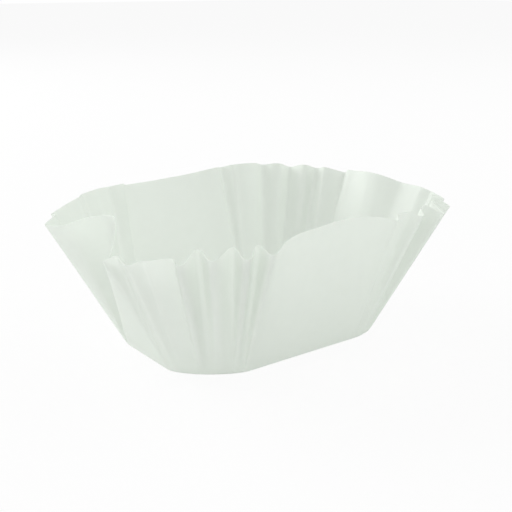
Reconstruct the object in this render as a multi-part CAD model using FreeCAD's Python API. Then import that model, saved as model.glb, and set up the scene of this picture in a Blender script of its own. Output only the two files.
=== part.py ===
import FreeCAD, Part
import math
import os

Vector = FreeCAD.Vector

# Sizes in mm and degrees. The liner is one sheet pressed over a block, so every
# fold line has nearly the same length of paper from the base to the cut edge.
paper = 0.2            # thickness of the sheet
base_length = 58.0     # flat base along X
base_width = 43.2      # flat base along Y
wall_length = 34.8     # paper from the base edge to the cut edge
side_lean = 24.5       # how far the long walls lean out from upright
end_lean = 28.5        # how far the short walls lean out from upright

rim_half_length = base_length / 2 + wall_length * math.sin(math.radians(end_lean))
rim_half_width = base_width / 2 + wall_length * math.sin(math.radians(side_lean))

# The four walls, counter-clockwise from above: front, right, back and left. The
# spans are shares of half that side. The pushes are shares of the wall length,
# inwards, one for each fold line from the start of the rim to its end. The
# reach is the share of extra paper that the cut edge leaves there. A gathered
# wall has all its folds fan out from the first corner of its base edge.
walls = [
    {"out": (0, -1), "base": (-0.51, 0.54), "rim": (-0.345, 0.32), "reach": 0.0,
     "pushes": (0.055, 0.104, 0.12, 0.142, 0.145, 0.09, 0.01), "gathered": False},
    {"out": (1, 0), "base": (-0.45, 0.10), "rim": (-0.185, 0.17), "reach": 0.03,
     "pushes": (-0.03, -0.02, 0.015, 0.075, 0.155), "gathered": False},
    {"out": (0, 1), "base": (-0.49, 0.57), "rim": (-0.35, 0.29), "reach": 0.0,
     "pushes": (0.01, -0.03, -0.05, -0.055, -0.055, -0.04, -0.02), "gathered": False},
    {"out": (-1, 0), "base": (-0.35, 0.47), "rim": (-0.20, 0.45), "reach": 0.02,
     "pushes": (0.04, 0.17, 0.26, 0.285, 0.245, 0.195, 0.135, 0.06, -0.02), "gathered": True},
]

# The corner that follows each wall: how full its curve is at the base and at
# the rim, how deep its flutes are as a share of the wall length, and how wide
# their crests are. Each crest stands somewhere along the corner, from 0 to 1,
# and lies on the outer curve (0) or the full depth inwards (1).
corners = [
    {"base_fullness": 0.71, "rim_fullness": 1.0, "reach": 0.015, "depth": 0.10, "crest": 0.028,
     "crests": ((0.045, 0.75), (0.09, 0.7), (0.135, 0.05), (0.20, 0.75), (0.25, 0.9),
                (0.295, -0.1), (0.38, 0.9), (0.47, -0.05), (0.55, 1), (0.62, 0.1), (0.70, 1),
                (0.79, 0), (0.90, 1))},
    {"base_fullness": 0.78, "rim_fullness": 0.9, "reach": 0.012, "depth": 0.12, "crest": 0.018,
     "crests": ((0.18, 0), (0.27, 0.9), (0.33, 0.1), (0.385, 0.8), (0.425, 0.2), (0.47, 1),
                (0.52, 0.1), (0.57, 0.8), (0.62, 0), (0.67, 1), (0.71, 0.2), (0.75, 0.8),
                (0.80, 0), (0.86, 0.9), (0.895, 0), (0.93, 0.7), (0.965, 0))},
    {"base_fullness": 0.4, "rim_fullness": 0.35, "reach": -0.02, "depth": 0.12, "crest": 0.026,
     "crests": ((0.10, 0.9), (0.145, 0.25), (0.20, 0.5), (0.28, 0), (0.43, 0.5), (0.49, 0.1),
                (0.55, 0.5), (0.61, -0.3), (0.66, 0.2), (0.72, -0.4))},
    {"base_fullness": 0.35, "rim_fullness": 0.55, "reach": 0.0, "depth": 0.10, "crest": 0.035,
     "crests": ((0.07, 0.6), (0.205, -0.1), (0.27, 0.65), (0.42, 0.65), (0.47, 0.1),
                (0.535, 1.2), (0.61, 0.2), (0.705, 1), (0.755, -0.1), (0.835, 0.8),
                (0.883, -0.15))},
]

# All the way round: wall, corner, wall, corner and so on.
sections = [section for pair in zip(walls, corners) for section in pair]


def place(out, half_length, half_width, share):
    """Point on one straight side, share 0 being its middle."""
    along = (-out[1], out[0])
    x = out[0] * half_length + along[0] * share * half_length
    y = out[1] * half_width + along[1] * share * half_width
    return Vector(x, y, 0)


def bend(start, end, start_out, fullness, share):
    """Point on the curve that rounds the corner between two sides."""
    if start_out[0] == 0:
        peak = Vector(end.x, start.y, 0)
    else:
        peak = Vector(start.x, end.y, 0)
    first = (1 - share) ** 2
    middle = 2 * fullness * share * (1 - share)
    last = share ** 2
    return (start * first + peak * middle + end * last) * (1 / (first + middle + last))


def reach_at(index, share):
    """Extra paper at the cut edge, easing from the middle of each section to the next."""
    here = sections[index]["reach"]
    if share < 0.5:
        beside = sections[index - 1]["reach"]
    else:
        beside = sections[(index + 1) % len(sections)]["reach"]
    return here + (beside - here) * abs(share - 0.5)


def rim_height(spread, lean, reach):
    """The paper keeps its length, so the rim drops where it is spread out."""
    length = wall_length * (1 + reach)
    return math.sqrt(length ** 2 + lean ** 2 - spread ** 2)


def add_fold(sheet, base_point, rim_point, reach, lean=0.0):
    """Add one fold line, sharing the base point of the last one if it is the same."""
    if not sheet["base"] or sheet["base"][-1].distanceToPoint(base_point) > paper / 10:
        sheet["base"].append(base_point)
    height = rim_height(rim_point.distanceToPoint(base_point), lean, reach)
    sheet["rim"].append(Vector(rim_point.x, rim_point.y, height))
    sheet["folds"].append((len(sheet["base"]) - 1, len(sheet["rim"]) - 1))


def add_wall(sheet, index):
    wall = sections[index]
    out = wall["out"]
    base_start = place(out, base_length / 2, base_width / 2, wall["base"][0])
    base_end = place(out, base_length / 2, base_width / 2, wall["base"][1])
    facets = len(wall["pushes"]) - 1
    for step, push in enumerate(wall["pushes"]):
        share = step / facets
        rim_share = wall["rim"][0] + share * (wall["rim"][1] - wall["rim"][0])
        rim_point = place(out, rim_half_length, rim_half_width, rim_share)
        rim_point = rim_point - Vector(out[0], out[1], 0) * push * wall_length
        reach = reach_at(index, share)
        base_point = base_start + (base_end - base_start) * share
        if wall["gathered"] and step < facets:
            add_fold(sheet, base_start, rim_point, reach, base_point.distanceToPoint(base_start))
        else:
            add_fold(sheet, base_point, rim_point, reach)


def add_corner(sheet, index):
    """Run the flutes of one corner from one wall to the next."""
    corner = sections[index]
    half_crest = corner["crest"] / 2
    for position, depth_share in corner["crests"]:
        inwards = depth_share * corner["depth"] * wall_length
        for share in (position - half_crest, position + half_crest):
            add_crest_edge(sheet, index, share, inwards)


def add_crest_edge(sheet, index, share, inwards):
    corner = sections[index]
    wall = sections[index - 1]
    next_wall = sections[(index + 1) % len(sections)]
    out, next_out = wall["out"], next_wall["out"]
    base_halves = (base_length / 2, base_width / 2)
    rim_halves = (rim_half_length, rim_half_width)
    base_start = place(out, *base_halves, wall["base"][1])
    base_end = place(next_out, *base_halves, next_wall["base"][0])
    rim_start = place(out, *rim_halves, wall["rim"][1])
    rim_end = place(next_out, *rim_halves, next_wall["rim"][0])
    base_point = bend(base_start, base_end, out, corner["base_fullness"], share)
    rim_point = bend(rim_start, rim_end, out, corner["rim_fullness"], share)
    facing = Vector(out[0], out[1], 0) * (1 - share) + Vector(next_out[0], next_out[1], 0) * share
    rim_point = rim_point - facing.normalize() * inwards
    add_fold(sheet, base_point, rim_point, reach_at(index, share))


def inset(points, distance, height=None):
    """Move a closed outline inwards by the same distance at each of its edges."""
    moved = []
    for index, point in enumerate(points):
        before = point - points[index - 1]
        after = points[(index + 1) % len(points)] - point
        before_in = Vector(-before.y, before.x, 0).normalize()
        after_in = Vector(-after.y, after.x, 0).normalize()
        both = before_in + after_in
        step = both * (distance / (1 + before_in.dot(after_in)))
        z = point.z if height is None else height
        moved.append(Vector(point.x + step.x, point.y + step.y, z))
    return moved


def triangle(a, b, c):
    return Part.Face(Part.makePolygon([a, b, c, a]))


def facets_between(folds, base, rim):
    """Flat facets between neighbouring fold lines."""
    faces = []
    for index, (base_here, rim_here) in enumerate(folds):
        base_next, rim_next = folds[(index + 1) % len(folds)]
        if rim_next != rim_here:
            faces.append(triangle(base[base_here], rim[rim_next], rim[rim_here]))
        if base_next != base_here:
            faces.append(triangle(base[base_here], base[base_next], rim[rim_next]))
    return faces


def cut_edge(outer, inner):
    """The thin edge of the paper around the top."""
    faces = []
    for index in range(len(outer)):
        after = (index + 1) % len(outer)
        faces.append(triangle(outer[index], outer[after], inner[after]))
        faces.append(triangle(outer[index], inner[after], inner[index]))
    return faces


def floor_face(points):
    return Part.Face(Part.makePolygon(points + [points[0]]))


def fold_sheet():
    """All fold lines of the liner, wall by wall and corner by corner."""
    sheet = {"base": [], "rim": [], "folds": []}
    for index in range(0, len(sections), 2):
        add_wall(sheet, index)
        add_corner(sheet, index + 1)
    return sheet


def make_liner():
    sheet = fold_sheet()
    # The walls lean, so the plan thickness is a little more than the paper's.
    lean_gain = 1 / math.cos(math.radians(side_lean))
    outer_base = sheet["base"]
    outer_rim = sheet["rim"]
    inner_base = inset(outer_base, paper * lean_gain, paper)
    inner_rim = inset(outer_rim, paper * lean_gain)
    faces = facets_between(sheet["folds"], outer_base, outer_rim)
    faces += facets_between(sheet["folds"], inner_base, inner_rim)
    faces += cut_edge(outer_rim, inner_rim)
    faces += [floor_face(outer_base), floor_face(inner_base)]
    solid = Part.makeSolid(Part.makeShell(faces))
    if solid.Volume < 0:
        solid.reverse()
    return centred(solid)


def centred(solid):
    """Put the middle of the whole outline over the origin."""
    box = solid.BoundBox
    solid.translate(Vector(-box.Center.x, -box.Center.y, -box.ZMin))
    return solid


os.makedirs("parts", exist_ok=True)
liner = make_liner()
liner.exportStep("parts/liner.step")
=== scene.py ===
import math
import bpy
import bmesh
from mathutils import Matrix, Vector, noise


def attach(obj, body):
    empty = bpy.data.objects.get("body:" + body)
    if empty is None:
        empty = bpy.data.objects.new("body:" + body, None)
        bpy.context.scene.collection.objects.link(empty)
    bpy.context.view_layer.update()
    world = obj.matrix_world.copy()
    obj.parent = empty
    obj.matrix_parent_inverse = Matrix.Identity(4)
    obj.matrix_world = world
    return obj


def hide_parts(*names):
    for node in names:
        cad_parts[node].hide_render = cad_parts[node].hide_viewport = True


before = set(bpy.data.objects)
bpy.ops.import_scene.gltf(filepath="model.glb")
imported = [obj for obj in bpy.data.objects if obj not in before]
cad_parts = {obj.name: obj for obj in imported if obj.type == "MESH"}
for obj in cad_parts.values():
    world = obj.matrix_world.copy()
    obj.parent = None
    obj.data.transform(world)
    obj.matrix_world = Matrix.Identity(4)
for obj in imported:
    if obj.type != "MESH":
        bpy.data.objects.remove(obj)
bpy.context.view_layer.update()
print("frame loaded")


# helpers

def deselectAll():
    bpy.ops.object.select_all(action="DESELECT")


def keepOnly(piece):
    deselectAll()
    piece.select_set(True)
    bpy.context.view_layer.objects.active = piece


def applyModifier(piece, kind, values):
    modifier = piece.modifiers.new(kind.title(), kind)
    for name, value in values.items():
        setattr(modifier, name, value)
    keepOnly(piece)
    bpy.ops.object.modifier_apply(modifier=modifier.name)


# the paper

paper = {
    "colour": (0.885, 0.912, 0.88, 1.0),
    "thinColour": (0.90, 0.926, 0.896, 1.0),
    "throughColour": (0.90, 0.93, 0.89, 1.0),
    "letThrough": 0.43,       # share of the light that comes through the sheet
    "roughness": 0.62,
    "specular": 0.28,
    "mottleScale": 420.0,     # cloudy look of the pulp
    "mottleDetail": 4,
    "mottleRoughness": 0.6,
    "mottleRange": (0.35, 0.68),
    "fibreScale": 2600.0,     # fine grain of the sheet
    "fibreDetail": 3,
    "grainStrength": 0.35,
    "grainDepth": 0.00002,
}


def makePaper():
    material = bpy.data.materials.new("greaseproofPaper")
    material.use_nodes = True
    nodes = material.node_tree.nodes
    links = material.node_tree.links
    nodes.clear()
    place = nodes.new("ShaderNodeTexCoord")

    mottle = nodes.new("ShaderNodeTexNoise")
    mottle.inputs["Scale"].default_value = paper["mottleScale"]
    mottle.inputs["Detail"].default_value = paper["mottleDetail"]
    mottle.inputs["Roughness"].default_value = paper["mottleRoughness"]
    links.new(place.outputs["Object"], mottle.inputs["Vector"])

    tint = nodes.new("ShaderNodeValToRGB")
    colours = (paper["colour"], paper["thinColour"])
    for stop, position, colour in zip(tint.color_ramp.elements, paper["mottleRange"], colours):
        stop.position = position
        stop.color = colour
    links.new(mottle.outputs["Fac"], tint.inputs["Fac"])

    fibre = nodes.new("ShaderNodeTexNoise")
    fibre.inputs["Scale"].default_value = paper["fibreScale"]
    fibre.inputs["Detail"].default_value = paper["fibreDetail"]
    links.new(place.outputs["Object"], fibre.inputs["Vector"])

    grain = nodes.new("ShaderNodeBump")
    grain.inputs["Strength"].default_value = paper["grainStrength"]
    grain.inputs["Distance"].default_value = paper["grainDepth"]
    links.new(fibre.outputs["Fac"], grain.inputs["Height"])

    face = nodes.new("ShaderNodeBsdfPrincipled")
    face.inputs["Roughness"].default_value = paper["roughness"]
    face.inputs["Specular IOR Level"].default_value = paper["specular"]
    links.new(tint.outputs["Color"], face.inputs["Base Color"])
    links.new(grain.outputs["Normal"], face.inputs["Normal"])

    through = nodes.new("ShaderNodeBsdfTranslucent")
    through.inputs["Color"].default_value = paper["throughColour"]
    links.new(grain.outputs["Normal"], through.inputs["Normal"])

    blend = nodes.new("ShaderNodeMixShader")
    blend.inputs["Fac"].default_value = paper["letThrough"]
    links.new(face.outputs["BSDF"], blend.inputs[1])
    links.new(through.outputs["BSDF"], blend.inputs[2])

    out = nodes.new("ShaderNodeOutputMaterial")
    links.new(blend.outputs["Shader"], out.inputs["Surface"])
    return material


# the liner, one folded sheet

liner = {
    "baseLength": 0.058,
    "baseWidth": 0.0432,
    "wallLength": 0.0348,
    "sideLean": 24.5,          # degrees from upright
    "endLean": 28.5,
    "middle": (0.00017, 0.0008),  # of the whole outline, measured from the middle of the floor
    "sheet": 0.00009,          # thickness of the paper
    "wallRows": 26,            # rows of faces up the wall
    "edgeRows": 3,             # rows of faces in the bend below it
    "edgeRound": 0.0006,       # soft bend between the floor and the walls
    "foldSteps": 6,            # columns for each fold line
    "foldSoft": 0.0011,        # soft bend beside a fold, at the cut edge
    "foldShare": 0.42,         # most of a facet that a fold takes
    "wideFacet": 0.0042,       # facets wider than this run into one soft curve
    "floorEdge": 0.97,         # inner edge of the ring that carries the bend into the flat floor
    "weld": 0.00003,           # columns nearer than this run into one point
    "sharpAngle": 50,          # creases up to this many degrees are shaded smooth
    # walls: which way they face, their spans on the base and the rim as shares of half a side,
    # the extra paper at the cut edge, and how far each fold is pushed in at the rim
    "walls": [
        {"out": (0, -1), "base": (-0.51, 0.54), "rim": (-0.345, 0.32), "reach": 0.0,
         "pushes": (0.055, 0.082, 0.104, 0.112, 0.12, 0.131, 0.142, 0.145, 0.145, 0.132, 0.112,
                    0.075, 0.01), "gathered": False},
        {"out": (1, 0), "base": (-0.45, 0.10), "rim": (-0.185, 0.10), "reach": 0.026,
         "pushes": (0, 0.055, 0.1, 0.122, 0.115), "gathered": False},
        {"out": (0, 1), "base": (-0.49, 0.57), "rim": (-0.35, 0.29), "reach": 0.0,
         "pushes": (0.03, -0.025, -0.05, -0.055, -0.055, -0.04, -0.02), "gathered": False},
        {"out": (-1, 0), "base": (-0.35, 0.47), "rim": (-0.20, 0.45), "reach": 0.02,
         "pushes": (0.04, 0.17, 0.26, 0.285, 0.245, 0.195, 0.135, 0.06, -0.02),
         "gathered": True},
    ],
    # the corner after each wall: how full its curve is on the base and the rim, the extra paper,
    # the depth of its folds as a share of the wall, and its crests along the curve, each as
    # (start, end, share of the depth inwards)
    "corners": [
        {"baseFullness": 0.71, "rimFullness": 1, "reach": 0.018, "depth": 0.10,
         "crests": ((0.031, 0.059, 0.75), (0.076, 0.104, 0.7), (0.121, 0.149, 0.05),
                    (0.186, 0.214, 0.75), (0.236, 0.264, 0.9), (0.281, 0.309, -0.25),
                    (0.366, 0.394, 0.9), (0.456, 0.484, -0.2), (0.536, 0.564, 1),
                    (0.606, 0.634, -0.05), (0.695, 0.72, 0.5), (0.79, 0.81, -0.3),
                    (0.855, 0.88, 0.12))},
        {"baseFullness": 0.78, "rimFullness": 0.9, "reach": 0.012, "depth": 0.12,
         "crests": ((0.09, 0.14, 0.6), (0.19, 0.21, -0.15), (0.285, 0.305, 0.6),
                    (0.35, 0.38, 0.2), (0.41, 0.455, 0.8), (0.525, 0.55, 0.05),
                    (0.6, 0.65, 0.8), (0.7, 0.73, 0.35), (0.775, 0.855, 0.9),
                    (0.895, 0.93, 0.65), (0.96, 0.98, 0.05))},
        {"baseFullness": 0.4, "rimFullness": 0.35, "reach": -0.02, "depth": 0.12,
         "crests": ((0.015, 0.03, 0.32), (0.15, 0.17, -0.05), (0.29, 0.3, 0.38),
                    (0.38, 0.39, 0), (0.465, 0.48, 0.45), (0.55, 0.56, 0.15),
                    (0.62, 0.64, -0.3), (0.68, 0.7, 0.1), (0.74, 0.76, -0.35))},
        {"baseFullness": 0.35, "rimFullness": 0.55, "reach": 0, "depth": 0.10,
         "crests": ((0.0525, 0.0875, 0.42), (0.1875, 0.2225, 0.05), (0.265, 0.3, 0.45),
                    (0.4025, 0.4375, 0.65), (0.4525, 0.4875, 0.1), (0.5175, 0.5525, 1.2),
                    (0.5925, 0.6275, 0.2), (0.6875, 0.7225, 1), (0.7375, 0.7725, -0.1),
                    (0.8175, 0.8525, 0.8), (0.8655, 0.9005, -0.15))},
    ],
    "ripple": 0.00016,         # slight waviness of the standing paper
    "rippleSize": 0.011,
}


def placeOnSide(out, halfLength, halfWidth, share):
    x = out[0] * halfLength - out[1] * share * halfLength
    y = out[1] * halfWidth + out[0] * share * halfWidth
    return Vector((x, y, 0))


def bendCorner(start, end, startOut, fullness, share):
    peak = Vector((end.x, start.y, 0)) if startOut[0] == 0 else Vector((start.x, end.y, 0))
    first = (1 - share) ** 2
    middle = 2 * fullness * share * (1 - share)
    last = share ** 2
    return (start * first + peak * middle + end * last) / (first + middle + last)


def reachAt(sections, index, share):
    here = sections[index]["reach"]
    beside = sections[index - 1 if share < 0.5 else (index + 1) % len(sections)]["reach"]
    return here + (beside - here) * abs(share - 0.5)


def foldLine(basePoint, rimPoint, reach, lean=0.0):
    spread = (rimPoint - basePoint).length
    length = liner["wallLength"] * (1 + reach)
    height = math.sqrt(length ** 2 + lean ** 2 - spread ** 2)
    return basePoint, Vector((rimPoint.x, rimPoint.y, height))


def wallFolds(sections, index, baseHalves, rimHalves):
    wall = sections[index]
    folds = []
    out = Vector((wall["out"][0], wall["out"][1], 0))
    baseStart = placeOnSide(wall["out"], *baseHalves, wall["base"][0])
    baseEnd = placeOnSide(wall["out"], *baseHalves, wall["base"][1])
    facets = len(wall["pushes"]) - 1
    for step, push in enumerate(wall["pushes"]):
        share = step / facets
        rimShare = wall["rim"][0] + share * (wall["rim"][1] - wall["rim"][0])
        rimPoint = placeOnSide(wall["out"], *rimHalves, rimShare) - out * push * liner["wallLength"]
        reach = reachAt(sections, index, share)
        standing = baseStart.lerp(baseEnd, share)
        if wall["gathered"] and step < facets:
            folds.append(foldLine(baseStart, rimPoint, reach, (standing - baseStart).length))
        else:
            folds.append(foldLine(standing, rimPoint, reach))
    if wall["gathered"]:  # the last facet stands on the whole base edge
        folds.insert(-1, (baseStart, folds[-1][1]))
    return folds


def cornerFolds(sections, index, baseHalves, rimHalves):
    corner = sections[index]
    wall = sections[index - 1]
    nextWall = sections[(index + 1) % len(sections)]
    folds = []
    out = Vector((wall["out"][0], wall["out"][1], 0))
    nextOut = Vector((nextWall["out"][0], nextWall["out"][1], 0))
    baseEnds = (placeOnSide(wall["out"], *baseHalves, wall["base"][1]),
                placeOnSide(nextWall["out"], *baseHalves, nextWall["base"][0]))
    rimEnds = (placeOnSide(wall["out"], *rimHalves, wall["rim"][1]),
               placeOnSide(nextWall["out"], *rimHalves, nextWall["rim"][0]))
    for crestStart, crestEnd, depthShare in corner["crests"]:
        inwards = depthShare * corner["depth"] * liner["wallLength"]
        for share in (crestStart, crestEnd):
            basePoint = bendCorner(*baseEnds, wall["out"], corner["baseFullness"], share)
            rimPoint = bendCorner(*rimEnds, wall["out"], corner["rimFullness"], share)
            facing = (out * (1 - share) + nextOut * share).normalized()
            folds.append(foldLine(basePoint, rimPoint - facing * inwards,
                                  reachAt(sections, index, share)))
    return folds


def allFolds():
    length = liner["wallLength"]
    baseHalves = (liner["baseLength"] / 2, liner["baseWidth"] / 2)
    rimHalves = (baseHalves[0] + length * math.sin(math.radians(liner["endLean"])),
                 baseHalves[1] + length * math.sin(math.radians(liner["sideLean"])))
    sections = [part for pair in zip(liner["walls"], liner["corners"]) for part in pair]
    folds = []
    for index in range(0, len(sections), 2):
        folds += wallFolds(sections, index, baseHalves, rimHalves)
        folds += cornerFolds(sections, index + 1, baseHalves, rimHalves)
    middle = Vector((*liner["middle"], 0))
    return [(base - middle, rim - middle) for base, rim in folds]


def foldReach(fold, beside):
    # share of the facet beside a fold that its soft bend takes
    width = (beside[1] - fold[1]).length
    if width > liner["wideFacet"]:
        return liner["foldShare"]
    return min(liner["foldShare"], liner["foldSoft"] / max(width, liner["sheet"]))


def sheetColumns():
    folds = allFolds()
    columns = []
    for index, fold in enumerate(folds):
        before = folds[index - 1]
        after = folds[(index + 1) % len(folds)]
        back = foldReach(fold, before)
        ahead = foldReach(fold, after)
        for count in range(liner["foldSteps"]):
            share = count / (liner["foldSteps"] - 1)
            column = []
            for end in (0, 1):
                first = fold[end].lerp(before[end], back) * (1 - share) ** 2
                last = fold[end].lerp(after[end], ahead) * share ** 2
                column.append(first + fold[end] * 2 * share * (1 - share) + last)
            columns.append(column)
    return columns


def sheetPoint(column, row):
    base, rim = column
    up = (rim - base).normalized()
    if row < liner["edgeRows"]:  # the bend between floor and wall
        share = row / liner["edgeRows"]
        inner = base - Vector((base.x, base.y, 0)).normalized() * liner["edgeRound"]
        outer = base + up * liner["edgeRound"]
        return inner * (1 - share) ** 2 + base * 2 * share * (1 - share) + outer * share ** 2
    share = (row - liner["edgeRows"]) / liner["wallRows"]
    length = (rim - base).length
    height = liner["edgeRound"] + (length - liner["edgeRound"]) * share
    point = base + up * height
    out = Vector((point.x, point.y, 0)).normalized()
    wave = noise.noise(point / liner["rippleSize"])
    return point + out * wave * liner["ripple"] * share


def turnOutwards(piece):
    wallFaces = [face for face in piece.data.polygons if face.center.z > liner["edgeRound"]]
    outward = sum(face.normal.x * face.center.x + face.normal.y * face.center.y
                  for face in wallFaces)
    if outward < 0:
        keepOnly(piece)
        bpy.ops.object.mode_set(mode="EDIT")
        bpy.ops.mesh.select_all(action="SELECT")
        bpy.ops.mesh.flip_normals()
        bpy.ops.object.mode_set(mode="OBJECT")


def makeLiner(material):
    columns = sheetColumns()
    rows = liner["edgeRows"] + liner["wallRows"]
    deselectAll()
    bpy.ops.mesh.primitive_cylinder_add(vertices=len(columns), radius=1, depth=rows,
                                        end_fill_type="NOTHING", location=(0, 0, rows / 2))
    piece = bpy.context.active_object
    piece.name = "foldedLiner"
    bpy.ops.object.transform_apply(location=True, rotation=True, scale=True)

    bpy.ops.object.mode_set(mode="EDIT")
    bpy.ops.mesh.select_mode(type="EDGE")
    bpy.ops.mesh.select_all(action="DESELECT")
    mesh = bmesh.from_edit_mesh(piece.data)
    for edge in mesh.edges:
        edge.select_set(abs(edge.verts[0].co.z - edge.verts[1].co.z) > rows / 2)
    bmesh.update_edit_mesh(piece.data)
    bpy.ops.mesh.subdivide(number_cuts=rows - 1)

    # every corner of the sheet goes to its place in the folds
    mesh = bmesh.from_edit_mesh(piece.data)
    turn = len(columns) / (2 * math.pi)
    for corner in mesh.verts:
        column = round(math.atan2(corner.co.y, corner.co.x) * turn) % len(columns)
        corner.co = sheetPoint(columns[column], round(corner.co.z))
    bmesh.update_edit_mesh(piece.data)

    bpy.ops.mesh.select_all(action="SELECT")
    bpy.ops.mesh.remove_doubles(threshold=liner["weld"])

    # the floor, one narrow ring and a flat face
    bpy.ops.mesh.select_all(action="DESELECT")
    mesh = bmesh.from_edit_mesh(piece.data)
    for edge in mesh.edges:
        edge.select_set(edge.is_boundary and edge.verts[0].co.z < liner["edgeRound"])
    bmesh.update_edit_mesh(piece.data)
    middle = sum((Vector((c[0].x, c[0].y, 0)) for c in columns), Vector()) / len(columns)
    bpy.ops.mesh.extrude_edges_move()
    bpy.ops.transform.resize(value=(liner["floorEdge"], liner["floorEdge"], 1),
                             center_override=middle)
    bpy.ops.mesh.edge_face_add()
    bpy.ops.mesh.select_all(action="SELECT")
    bpy.ops.mesh.normals_make_consistent(inside=False)
    bpy.ops.object.mode_set(mode="OBJECT")
    turnOutwards(piece)
    applyModifier(piece, "SOLIDIFY", {"thickness": liner["sheet"], "offset": -1,
                                      "use_even_offset": False})
    keepOnly(piece)
    bpy.ops.object.shade_smooth_by_angle(angle=math.radians(liner["sharpAngle"]))
    piece.data.materials.clear()
    piece.data.materials.append(material)
    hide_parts("liner")
    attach(piece, "root")
    print("liner folded, faces:", len(piece.data.polygons))


# floor, light and camera

studio = {
    "white": (1.0, 1.0, 1.0, 1.0),
    "floorSize": 6.0,
    "floorColour": (0.93, 0.93, 0.93, 1.0),
    "floorWhite": 0.9,          # share of plain white that the camera sees
    "skyStrength": 0.52,        # light of the sky, which itself is seen plain white
    "lampSize": 0.7,
    "lampAim": (0, 0, 0.015),
    # soft lamps all round, most of the light from behind: name, place and power
    "lamps": (("backLeft", (-0.32, 0.72, 0.36), 4.3),
              ("rightHigh", (0.56, -0.06, 0.57), 1.25),
              ("frontLow", (-0.46, -0.63, 0.36), 1.1),
              ("leftLow", (-0.80, -0.05, 0.30), 0.55),
              ("frontRight", (0.23, -0.52, 0.57), 0.2)),
}


def seenRays(nodes, links):
    # rays that show the background: straight to the camera, mirrored or through
    path = nodes.new("ShaderNodeLightPath")
    total = path.outputs["Is Camera Ray"]
    for name in ("Is Glossy Ray", "Is Transmission Ray"):
        both = nodes.new("ShaderNodeMath")
        both.operation = "MAXIMUM"
        links.new(total, both.inputs[0])
        links.new(path.outputs[name], both.inputs[1])
        total = both.outputs[0]
    return total


def makeFloor():
    deselectAll()
    bpy.ops.mesh.primitive_plane_add(size=studio["floorSize"], location=(0, 0, 0))
    floor = bpy.context.active_object
    floor.name = "paleFloor"
    material = bpy.data.materials.new("paleFloorPaint")
    material.use_nodes = True
    nodes = material.node_tree.nodes
    links = material.node_tree.links
    nodes.clear()
    matte = nodes.new("ShaderNodeBsdfDiffuse")
    matte.inputs["Color"].default_value = studio["floorColour"]
    white = nodes.new("ShaderNodeEmission")
    white.inputs["Color"].default_value = studio["white"]
    share = nodes.new("ShaderNodeMath")
    share.operation = "MULTIPLY"
    share.inputs[1].default_value = studio["floorWhite"]
    links.new(seenRays(nodes, links), share.inputs[0])
    blend = nodes.new("ShaderNodeMixShader")
    links.new(share.outputs[0], blend.inputs["Fac"])
    links.new(matte.outputs["BSDF"], blend.inputs[1])
    links.new(white.outputs["Emission"], blend.inputs[2])
    out = nodes.new("ShaderNodeOutputMaterial")
    links.new(blend.outputs["Shader"], out.inputs["Surface"])
    floor.data.materials.append(material)


def aimAt(thing, target):
    direction = Vector(target) - thing.location
    thing.rotation_euler = direction.to_track_quat("-Z", "Y").to_euler()


def addLamp(name, place, power):
    bpy.ops.object.light_add(type="AREA", location=place)
    lamp = bpy.context.active_object
    lamp.name = name
    lamp.data.shape = "DISK"
    lamp.data.size = studio["lampSize"]
    lamp.data.energy = power
    aimAt(lamp, studio["lampAim"])


def makeSky():
    world = bpy.data.worlds.new("paleStudio")
    bpy.context.scene.world = world
    world.use_nodes = True
    nodes = world.node_tree.nodes
    links = world.node_tree.links
    nodes.clear()
    light = nodes.new("ShaderNodeBackground")
    light.inputs["Color"].default_value = studio["white"]
    light.inputs["Strength"].default_value = studio["skyStrength"]
    seen = nodes.new("ShaderNodeBackground")
    seen.inputs["Color"].default_value = studio["white"]
    blend = nodes.new("ShaderNodeMixShader")
    links.new(seenRays(nodes, links), blend.inputs["Fac"])
    links.new(light.outputs["Background"], blend.inputs[1])
    links.new(seen.outputs["Background"], blend.inputs[2])
    out = nodes.new("ShaderNodeOutputWorld")
    links.new(blend.outputs["Shader"], out.inputs["Surface"])


camera = {
    "place": (-0.1206, -0.1647, 0.0818),
    "turn": -36.96,    # degrees about the vertical
    "down": 17.35,     # degrees below level
    "lens": 62.2,
    "sensor": 36,
    "nearest": 0.01,
}


def makeCamera():
    turned = (math.radians(90 - camera["down"]), 0, math.radians(camera["turn"]))
    bpy.ops.object.camera_add(location=camera["place"], rotation=turned)
    eye = bpy.context.active_object
    eye.name = "photoCamera"
    eye.data.lens = camera["lens"]
    eye.data.sensor_width = camera["sensor"]
    eye.data.clip_start = camera["nearest"]
    bpy.context.scene.camera = eye


def buildScene():
    makeLiner(makePaper())
    makeFloor()
    for name, place, power in studio["lamps"]:
        addLamp(name, place, power)
    makeSky()
    print("studio lit")
    makeCamera()
    bpy.context.scene.view_settings.view_transform = "Standard"
    print("scene ready")


buildScene()
